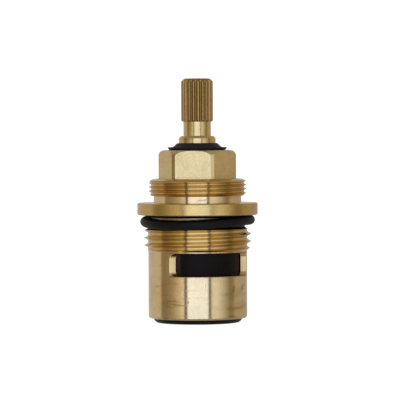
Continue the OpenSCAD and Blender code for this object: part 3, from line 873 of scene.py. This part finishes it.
def mottled(name, dark, light, roughness, patch_scale, specular, bump_mm):
    """A two-tone finish whose patches also change its roughness and surface."""
    material, tree, shader = new_material(name)
    coarse = patches(tree, {"Scale": patch_scale, "Stretch": 1.0})
    fine = patches(tree, {"Scale": patch_scale * FINE_TIMES, "Stretch": 1.0})
    coarse_part = calc(tree, "MULTIPLY", coarse, 1 - FINE_SHARE)
    both = calc(tree, "MULTIPLY_ADD", fine, FINE_SHARE, coarse_part)
    tone = ease(tree, both, MOTTLE_FROM, MOTTLE_FULL)
    feed(tree, shader.inputs["Base Color"], blend(tree, tone, (*dark, 1), (*light, 1)))
    feed(tree, shader.inputs["Roughness"], ease(tree, both, MOTTLE_FROM, MOTTLE_FULL, *roughness))
    shader.inputs["Specular IOR Level"].default_value = specular
    bump = add(tree, "Bump", {"Strength": 0.3, "Distance": bump_mm * MM, "Height": fine})
    feed(tree, shader.inputs["Normal"], bump.outputs["Normal"])
    return material


seal_rubber = mottled(
    "seal_rubber", dark=(0.003, 0.003, 0.0032), light=(0.005, 0.005, 0.0054),
    roughness=(0.38, 0.5), patch_scale=260.0, specular=0.13, bump_mm=0.01,
)
driver_plastic = mottled(
    "driver_nylon", dark=(0.0055, 0.0035, 0.0035), light=(0.008, 0.0055, 0.0055),
    roughness=(0.34, 0.46), patch_scale=300.0, specular=0.06, bump_mm=0.006,
)
lip_plastic = mottled(
    "lip_plastic", dark=(0.014, 0.0135, 0.0125), light=(0.020, 0.0195, 0.018),
    roughness=(0.5, 0.62), patch_scale=320.0, specular=0.2, bump_mm=0.01,
)
white_plastic = mottled(
    "white_plastic", dark=(0.72, 0.71, 0.66), light=(0.80, 0.79, 0.75),
    roughness=(0.35, 0.5), patch_scale=200.0, specular=0.5, bump_mm=0.006,
)
disc_ceramic = mottled(
    "lapped_ceramic", dark=(0.66, 0.63, 0.56), light=(0.74, 0.71, 0.65),
    roughness=(0.18, 0.3), patch_scale=420.0, specular=0.5, bump_mm=0.003,
)
print("materials:", [material.name for material in bpy.data.materials])

# %% [markdown]
# The driver's upright edges get a painted highlight: its colour is lifted where its wall lies
# inside the full radius.

# %% Paint highlights on the driver's edges
DRIVER_R = 10.6
HIGHLIGHT_FROM, HIGHLIGHT_FULL = 0.06, 0.2
EDGE_HIGHLIGHT_NYLON = (0.036, 0.021, 0.0205, 1)

tree = driver_plastic.node_tree
shader = tree.nodes["Principled BSDF"]
nylon = shader.inputs["Base Color"].links[0].from_socket
where = place_group(tree, round_place)
# Painted highlight on the driver's upright edges.
highlighted = ease(tree, where.outputs["Radius"], DRIVER_R - HIGHLIGHT_FROM, DRIVER_R - HIGHLIGHT_FULL)
feed(tree, shader.inputs["Base Color"], blend(tree, highlighted, nylon, EDGE_HIGHLIGHT_NYLON))
print("rubbed edges on", driver_plastic.name)

# %% Give every piece its finish
FINISHES = {
    "body": body_brass, "spindle": spindle_brass, "dust_lip": lip_plastic,
    "upper_stem_o_ring": seal_rubber, "lower_stem_o_ring": seal_rubber, "friction_washer": white_plastic,
    "disc_driver": driver_plastic, "moving_disc": disc_ceramic, "fixed_disc": disc_ceramic,
    "bottom_seal": seal_rubber, "seal_support_ring": white_plastic, "flange_o_ring": seal_rubber,
}
for node, piece in pieces.items():
    piece.data.materials.clear()
    piece.data.materials.append(FINISHES[node])
print("finished", len(pieces), "pieces")

# %% [markdown]
# ## Studio light
#
# Polished brass shows its surroundings more than itself, so the light is a picture of a
# small studio. A cool softbox stands behind the camera, narrow dark frames edge it, white
# side walls fade to warm dark gaps at the sides, and pale walls close the back. The world
# shader turns each direction into an angle round the axis, in degrees from the camera, and
# looks its light up on a ramp. Steep directions fade to a second ramp, from straight down to
# straight up. Camera rays see plain white instead, as in a cut-out product picture.

# %% Build the studio light
LIGHT_SCALE = 2.0
SOFTBOX = (1.18, 1.36, 1.82)
FRAME_DARK = (0.09, 0.07, 0.035)
AROUND = [
    (-180, (0.56, 0.54, 0.53)),
    (-165, (0.63, 0.62, 0.62)),
    (-140, (0.57, 0.55, 0.53)),
    (-97, (0.60, 0.555, 0.50)),
    (-93, (0.28, 0.24, 0.16)),
    (-80, (0.275, 0.235, 0.155)),
    (-72, (0.324, 0.283, 0.20)),
    (-59, (0.432, 0.375, 0.286)),
    (-49, (0.56, 0.52, 0.417)),
    (-40, (0.70, 0.69, 0.62)),
    (-34, (0.87, 0.87, 0.84)),
    (-31.5, (0.87, 0.87, 0.84)),
    (-31, FRAME_DARK),
    (-25, FRAME_DARK),
    (-24.1, SOFTBOX),
    (24.6, SOFTBOX),
    (25.4, FRAME_DARK),
    (30.2, FRAME_DARK),
    (31.5, (0.83, 0.86, 0.88)),
    (44, (0.86, 0.90, 0.93)),
    (80, (0.27, 0.23, 0.16)),
    (90, (0.29, 0.25, 0.17)),
    (98, (0.48, 0.435, 0.36)),
    (115, (0.48, 0.435, 0.36)),
    (140, (0.44, 0.41, 0.38)),
    (165, (0.48, 0.46, 0.45)),
    (180, (0.56, 0.54, 0.53)),
]
UPRIGHT = [
    (0.0, (0.45, 0.42, 0.36)),
    (0.2, (0.22, 0.19, 0.14)),
    (0.5, (0.42, 0.39, 0.33)),
    (1.0, (0.35, 0.33, 0.285)),
]
STEEP_FROM = 0.35
STEEP_TO = 0.8
BACKGROUND_WHITE = 1.05


def dimmed(colour):
    """A light's colour as the ramp holds it, which stops at one."""
    return tuple(channel / LIGHT_SCALE for channel in colour)


world = bpy.data.worlds.new("studio")
bpy.context.scene.world = world
world.use_nodes = True
tree = world.node_tree
tree.nodes.clear()
direction = add(tree, "TexCoord").outputs["Generated"]
turned = add(tree, "VectorRotate", {"Vector": direction, "Angle": -CAMERA_TURN}, rotation_type="Z_AXIS")
split = add(tree, "SeparateXYZ", {"Vector": turned.outputs["Vector"]})
angle = calc(tree, "ARCTAN2", split.outputs["Y"], split.outputs["X"])
share_round = calc(tree, "MULTIPLY_ADD", angle, 0.5 / math.pi, 0.5)
share_up = calc(tree, "MULTIPLY_ADD", split.outputs["Z"], 0.5, 0.5)
around = ramp(tree, share_round, [(0.5 + degrees / 360, dimmed(colour)) for degrees, colour in AROUND])
upright = ramp(tree, share_up, [(share, dimmed(colour)) for share, colour in UPRIGHT])
steep = ease(tree, calc(tree, "ABSOLUTE", split.outputs["Z"]), STEEP_FROM, STEEP_TO)
studio = add(tree, "Background", {"Color": blend(tree, steep, around, upright), "Strength": LIGHT_SCALE})
card = add(tree, "Background", {"Color": (1, 1, 1, 1), "Strength": BACKGROUND_WHITE})
choice = add(tree, "MixShader", {
    0: add(tree, "LightPath").outputs["Is Camera Ray"], 1: studio.outputs[0], 2: card.outputs[0],
})
add(tree, "OutputWorld", {"Surface": choice.outputs[0]})
bpy.context.scene.view_settings.view_transform = "Standard"
print("studio light with", len(AROUND), "stops round the axis")

# %% [markdown]
# ## The floor
#
# The cartridge stands on a white sheet that is lit so brightly that it runs into the
# background. A little glow in the sheet does that without more lamps, and still leaves a
# soft shadow where the seal touches it. Brass must not mirror this trick, so the sheet is
# hidden from reflections.

# %% Lay the floor
FLOOR_REACH = 3
FLOOR_GREY = 0.85
FLOOR_ROUGHNESS = 0.9
FLOOR_GLOW = 0.85

shape = bmesh.new()
bmesh.ops.create_grid(shape, x_segments=1, y_segments=1, size=FLOOR_REACH)
floor = piece_from(shape, "pale_floor")
material, tree, shader = new_material("pale_floor")
shader.inputs["Base Color"].default_value = (FLOOR_GREY, FLOOR_GREY, FLOOR_GREY, 1)
shader.inputs["Roughness"].default_value = FLOOR_ROUGHNESS
shader.inputs["Emission Color"].default_value = (1, 1, 1, 1)
shader.inputs["Emission Strength"].default_value = FLOOR_GLOW
floor.data.materials.append(material)
floor.visible_glossy = False
print("floor laid at", floor.location.z)
